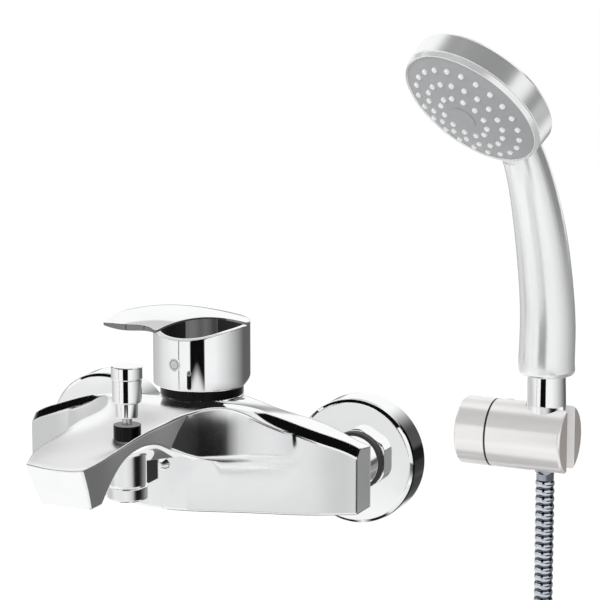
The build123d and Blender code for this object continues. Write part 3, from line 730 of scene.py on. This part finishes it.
body_chrome = plated("body_chrome", roughness=0.06, smudges=0.03, edge=BODY_EDGE)
body_tree = body_chrome.node_tree
body_place = split(body_tree, object_place(body_tree))
body_side = calculated(body_tree, "ABSOLUTE", body_place["X"])
body_places = (body_side, body_place["Y"], body_place["Z"])
shoulder_mask = within(body_tree, body_places, SHOULDER_LIMITS)
turn_radius = calculated(body_tree, "MULTIPLY_ADD", shoulder_mask, SHOULDER_TURN, BODY_EDGE)
body_bevel = next(n for n in body_tree.nodes if n.bl_idname == "ShaderNodeBevel")
body_bevel.samples = 16
body_tree.links.new(turn_radius, body_bevel.inputs["Radius"])
from_boss = distance_from(body_tree, BOSS_CENTRE, LEVEL_AXES)
off_boss = calculated(body_tree, "GREATER_THAN", from_boss, BOSS_REACH)
# Painted shade under the spout's arch, but not on the outlet's boss.
arch_shade_mask = product(body_tree, within(body_tree, body_places, ARCH_LIMITS), off_boss)
blend_socket(body_chrome, "Base Color", arch_shade_mask, (0.06, 0.06, 0.062, 1.0))

# The casting's back, towards the wall, is plated but not buffed, so it is pale and satin.
body_facing = facing(body_tree)
back_mask = between(body_tree, body_facing["Y"], 0.7, 1.1, 0.1)
blend_socket(body_chrome, "Base Color", back_mask, (0.95, 0.95, 0.955, 1.0))
blend_socket(body_chrome, "Roughness", back_mask, 0.45)
blend_socket(body_chrome, "Metallic", back_mask, 0.3)

# The hollow top of the spout can't be reached by the large buffing wheel and is softer. Its
# colour is also painted darker there as painted shade in the hollow.
hollow_soft_shade_mask = product(
    body_tree,
    between(body_tree, body_facing["Z"], 0.80, 1.1, 0.15),
    between(body_tree, body_place["Y"], -0.202, -0.085, 0.012),
)
blend_socket(body_chrome, "Roughness", hollow_soft_shade_mask, 0.30)
blend_socket(body_chrome, "Base Color", hollow_soft_shade_mask, (0.80, 0.80, 0.81, 1.0))
finish("mixer_body", body_chrome)

# Wall flanges: spun from sheet brass, buffed and plated. They stand on the wall and cover the
# unions. The side of each rim that looks along +X is painted near black as painted shade.
flange_chrome = plated("flange_chrome")
flange_tree = flange_chrome.node_tree
rim_shade_mask = between(flange_tree, facing(flange_tree)["X"], 0.85, 1.1, 0.35)
blend_socket(flange_chrome, "Base Color", rim_shade_mask, (0.02, 0.02, 0.021, 1.0))
finish("right_flange", flange_chrome)
finish("left_flange", flange_chrome)

# Plain turned brass and steel pieces inside the fittings: union tails, cartridge nut, screws.
# The hose's ball ferrule is brass with a nickel plate, because it shows under the holder.
brass = metal("turned_brass", (0.72, 0.55, 0.28), (0.60, 0.44, 0.22), 0.22, 0.10, 0.08, 0.15)
steel = metal("plain_steel", (0.62, 0.62, 0.63), (0.50, 0.50, 0.51), 0.20, 0.08, 0.08, 0.15)
nickel = metal("nickel_plate", (0.42, 0.45, 0.50), (0.34, 0.37, 0.42), 0.14, 0.08, 0.06, 0.08)
for name in ("right_union_tail", "left_union_tail", "cartridge_nut"):
    finish(name, brass)
finish("hose_ferrule", nickel)
for name in ("lift_axle", "lever_stem", "diverter_spindle", "wall_screw_upper", "wall_screw_lower"):
    finish(name, steel)

# Hose strip: bright bluish steel, painted darker in the grooves between its ribs as painted shade.
hose_steel = metal("hose_steel", (0.66, 0.70, 0.76), (0.54, 0.58, 0.64), 0.11, 0.08, 0.05, 0.05)
hose_tree = hose_steel.node_tree
groove_depth = hose_tree.nodes.new("ShaderNodeAttribute")
groove_depth.attribute_name = "groove"
groove_painted_shade = between(hose_tree, groove_depth.outputs["Fac"], 0.6, 1.5, 0.5)
blend_socket(hose_steel, "Base Color", groove_painted_shade, (0.12, 0.14, 0.17, 1.0))
hose.data.materials.append(hose_steel)


# Moulded plastic and rubber: seals, plugs, the cartridge, the spray face and its nozzles.
def build_moulded_grain():
    """Grain is a fine noise that sets the height, and mottle a wide one that moves the
    colour between two shades and adds to the roughness."""
    group, given, result = node_group(
        "moulded_grain",
        [
            ("Colour", "NodeSocketColor", (0.8, 0.8, 0.8, 1.0)),
            ("Shade", "NodeSocketColor", (0.7, 0.7, 0.7, 1.0)),
            ("Roughness", "NodeSocketFloat", 0.4),
        ],
        [
            ("Colour", "NodeSocketColor"),
            ("Roughness", "NodeSocketFloat"),
            ("Height", "NodeSocketFloat"),
        ],
    )
    nodes, links = group.nodes, group.links
    place = nodes.new("ShaderNodeTexCoord")
    grain = nodes.new("ShaderNodeTexNoise")
    grain.inputs["Scale"].default_value = 2600.0
    grain.inputs["Detail"].default_value = 2.0
    links.new(place.outputs["Object"], grain.inputs["Vector"])
    mottle = nodes.new("ShaderNodeTexNoise")
    mottle.inputs["Scale"].default_value = 55.0
    mottle.inputs["Detail"].default_value = 3.0
    links.new(place.outputs["Object"], mottle.inputs["Vector"])
    mottled = mottle.outputs["Fac"]
    shaded = blended(group, mottled, given.outputs["Colour"], given.outputs["Shade"])
    links.new(shaded, result.inputs["Colour"])
    rough = calculated(group, "MULTIPLY_ADD", mottled, 0.08, given.outputs["Roughness"])
    links.new(rough, result.inputs["Roughness"])
    links.new(grain.outputs["Fac"], result.inputs["Height"])
    return group


moulded_grain = build_moulded_grain()


def moulded(name, colour, shade, roughness, bump, metallic=0.0):
    """Moulded plastic or rubber; with metallic set, plastic with a satin plated skin."""
    material, tree, shader = new_material(name)
    grain = tree.nodes.new("ShaderNodeGroup")
    grain.node_tree = moulded_grain
    grain.inputs["Colour"].default_value = (*colour, 1.0)
    grain.inputs["Shade"].default_value = (*shade, 1.0)
    grain.inputs["Roughness"].default_value = roughness
    tree.links.new(grain.outputs["Colour"], shader.inputs["Base Color"])
    tree.links.new(grain.outputs["Roughness"], shader.inputs["Roughness"])
    shader.inputs["Metallic"].default_value = metallic
    add_relief(tree, shader, grain.outputs["Height"], bump)
    return material


black_rubber = moulded("black_rubber", (0.012, 0.012, 0.012), (0.03, 0.03, 0.03), 0.45, 0.3)
white_plastic = moulded("white_plastic", (0.82, 0.82, 0.82), (0.74, 0.74, 0.74), 0.35, 0.1)
satin_shell = moulded(
    "satin_shell", (0.94, 0.945, 0.95), (0.92, 0.925, 0.93), 0.18, 0.04, metallic=0.68
)
spray_grey = moulded("spray_grey", (0.40, 0.41, 0.42), (0.35, 0.36, 0.37), 0.38, 0.2)
nozzle_white = moulded("nozzle_white", (0.95, 0.95, 0.95), (0.92, 0.92, 0.92), 0.40, 0.1)
indicator_grey = moulded("indicator_plate", (0.90, 0.90, 0.91), (0.87, 0.87, 0.88), 0.30, 0.1)
INDICATOR_CENTRE = (-0.00364, 0.0, 0.0573)
INDICATOR_RING = (0.00215, 0.00245)
UPRIGHT_AXES = (1.0, 0.0, 1.0)
indicator_tree = indicator_grey.node_tree
from_indicator = distance_from(indicator_tree, INDICATOR_CENTRE, UPRIGHT_AXES)
ring_line = between(indicator_tree, from_indicator, *INDICATOR_RING, 0.0002)
blend_socket(indicator_grey, "Base Color", ring_line, (0.40, 0.40, 0.41, 1.0))
for name in ("right_union_washer", "left_union_washer", "hose_end_washer", "friction_ring"):
    finish(name, black_rubber)
WHITE_NODES = """cartridge_body cartridge_turret check_valve aerator_insert wall_plug_upper
wall_plug_lower hose_tie_right hose_tie_top diverter_valve""".split()
for name in WHITE_NODES:
    finish(name, white_plastic)
finish("handset_shell", satin_shell)
finish("spray_plate", spray_grey)
finish("centre_disc", spray_grey)
finish("indicator_button", indicator_grey)

# Holder and bezel: moulded plastic with a bright plate, warmer and softer than the mixer's. The
# barrel's end face, which looks along +X, is painted darker as painted shade, and the joint
# between the two barrels is a dark line.
JOINT_LINE = (0.1579, 0.1589)
plated_plastic = moulded(
    "plated_plastic", (0.93, 0.915, 0.90), (0.90, 0.885, 0.87), 0.19, 0.02, metallic=0.36
)
holder_tree = plated_plastic.node_tree
end_face_shade_mask = between(holder_tree, facing(holder_tree)["X"], 0.9, 1.1, 0.1)
blend_socket(plated_plastic, "Base Color", end_face_shade_mask, (0.52, 0.48, 0.45, 1.0))
holder_place = split(holder_tree, object_place(holder_tree))
joint_mask = between(holder_tree, holder_place["X"], *JOINT_LINE, 0.0001)
blend_socket(plated_plastic, "Base Color", joint_mask, (0.07, 0.05, 0.045, 1.0))
for name in ("holder_turning_barrel", "holder_fixed_barrel", "wall_plate"):
    finish(name, plated_plastic)
bright_bezel = moulded(
    "bright_bezel", (0.92, 0.92, 0.925), (0.88, 0.88, 0.885), 0.22, 0.05, metallic=0.45
)
finish("head_bezel", bright_bezel)

# Spray nozzles: soft rubber tips moulded on one mat, which stand through the face in three
# rings and are rubbed to break off scale. Each has a rounded rim and a small hole. Their sizes
# are in millimetres until the last line of nozzle_points.
NOZZLE_RINGS = ((29.5, 22), (21.5, 18), (13.2, 12))
NOZZLE_PROFILE = np.array(
    [
        (1.50, -0.6), (1.48, 0.2), (1.38, 0.85), (1.18, 1.12),
        (0.88, 1.2), (0.56, 1.12), (0.44, 0.8), (0.0, 0.75),
    ]
)
NOZZLE_SIDES = 14
FACE_DOME = 5.7
FACE_CURVE = 0.0049
FACE_TILT = math.radians(41.2)
FACE_ORIGIN = np.array([0.0, -59.3, 202.4])
HANDSET_TURN = math.radians(-22.9)
HANDSET_PLACE = np.array([185.9, -24.0, 0.0])


def nozzle_points():
    """Points of every nozzle: the profile turned about the nozzle's axis, moved to its place
    in its ring and up onto the domed face, whose height is the dome less a constant times the
    square of the radius. Then the face's axes, the handset's turn and its place."""
    side = np.linspace(0.0, math.tau, NOZZLE_SIDES, endpoint=False)
    radius, height = NOZZLE_PROFILE.T
    one = np.stack(
        [
            radius[:, None] * np.cos(side),
            radius[:, None] * np.sin(side),
            np.broadcast_to(height[:, None], (len(height), NOZZLE_SIDES)),
        ],
        axis=-1,
    )
    places = []
    for ring, count in NOZZLE_RINGS:
        turn = math.tau * np.arange(count) / count
        lift = np.full(count, FACE_DOME - FACE_CURVE * ring * ring)
        places.append(np.stack([ring * np.cos(turn), ring * np.sin(turn), lift], axis=-1))
    places = np.concatenate(places)
    points = places[:, None, None] + one
    across = np.array([1.0, 0.0, 0.0])
    out = np.array([0.0, -math.cos(FACE_TILT), -math.sin(FACE_TILT)])
    along = np.cross(out, across)
    points = FACE_ORIGIN + points[..., :1] * across + points[..., 1:2] * along + points[..., 2:] * out
    turned = np.array(
        [
            [math.cos(HANDSET_TURN), -math.sin(HANDSET_TURN), 0.0],
            [math.sin(HANDSET_TURN), math.cos(HANDSET_TURN), 0.0],
            [0.0, 0.0, 1.0],
        ]
    )
    return (points @ turned.T + HANDSET_PLACE) / 1000.0


tips = nozzle_points()
tip_count, tip_rows, tip_sides = tips.shape[:3]
tip_index = np.arange(tip_count * tip_rows * tip_sides).reshape(tip_count, tip_rows, tip_sides)
tip_round = np.concatenate([tip_index, tip_index[:, :, :1]], axis=2)
tip_mesh = bpy.data.meshes.new("spray_nozzle_tips")
tip_mesh.from_pydata(tips.reshape(-1, 3), [], quads_between(tip_round))
merged = bmesh.new()
merged.from_mesh(tip_mesh)
bmesh.ops.remove_doubles(merged, verts=merged.verts, dist=1e-6)
bmesh.ops.holes_fill(merged, edges=merged.edges, sides=NOZZLE_SIDES)
bmesh.ops.recalc_face_normals(merged, faces=merged.faces)
merged.to_mesh(tip_mesh)
merged.free()
tip_mesh.polygons.foreach_set("use_smooth", np.ones(len(tip_mesh.polygons), bool))
nozzle_tips = bpy.data.objects.new("spray_nozzle_tips", tip_mesh)
bpy.context.scene.collection.objects.link(nozzle_tips)
nozzle_tips.data.materials.append(nozzle_white)
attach(nozzle_tips, "handset")
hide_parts("spray_nozzles")

# The photographed plate mirrors its studio and hardly any neighbouring piece, and the hand
# shower was photographed apart. Only the dark ring and collar show in the casting under them.
# The ring and collar show their painted shade as a dark reflection in the casting.
for name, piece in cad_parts.items():
    piece.visible_glossy = name in ("neck_ring", "diverter_collar")
nozzle_tips.visible_glossy = False
hose.visible_glossy = False
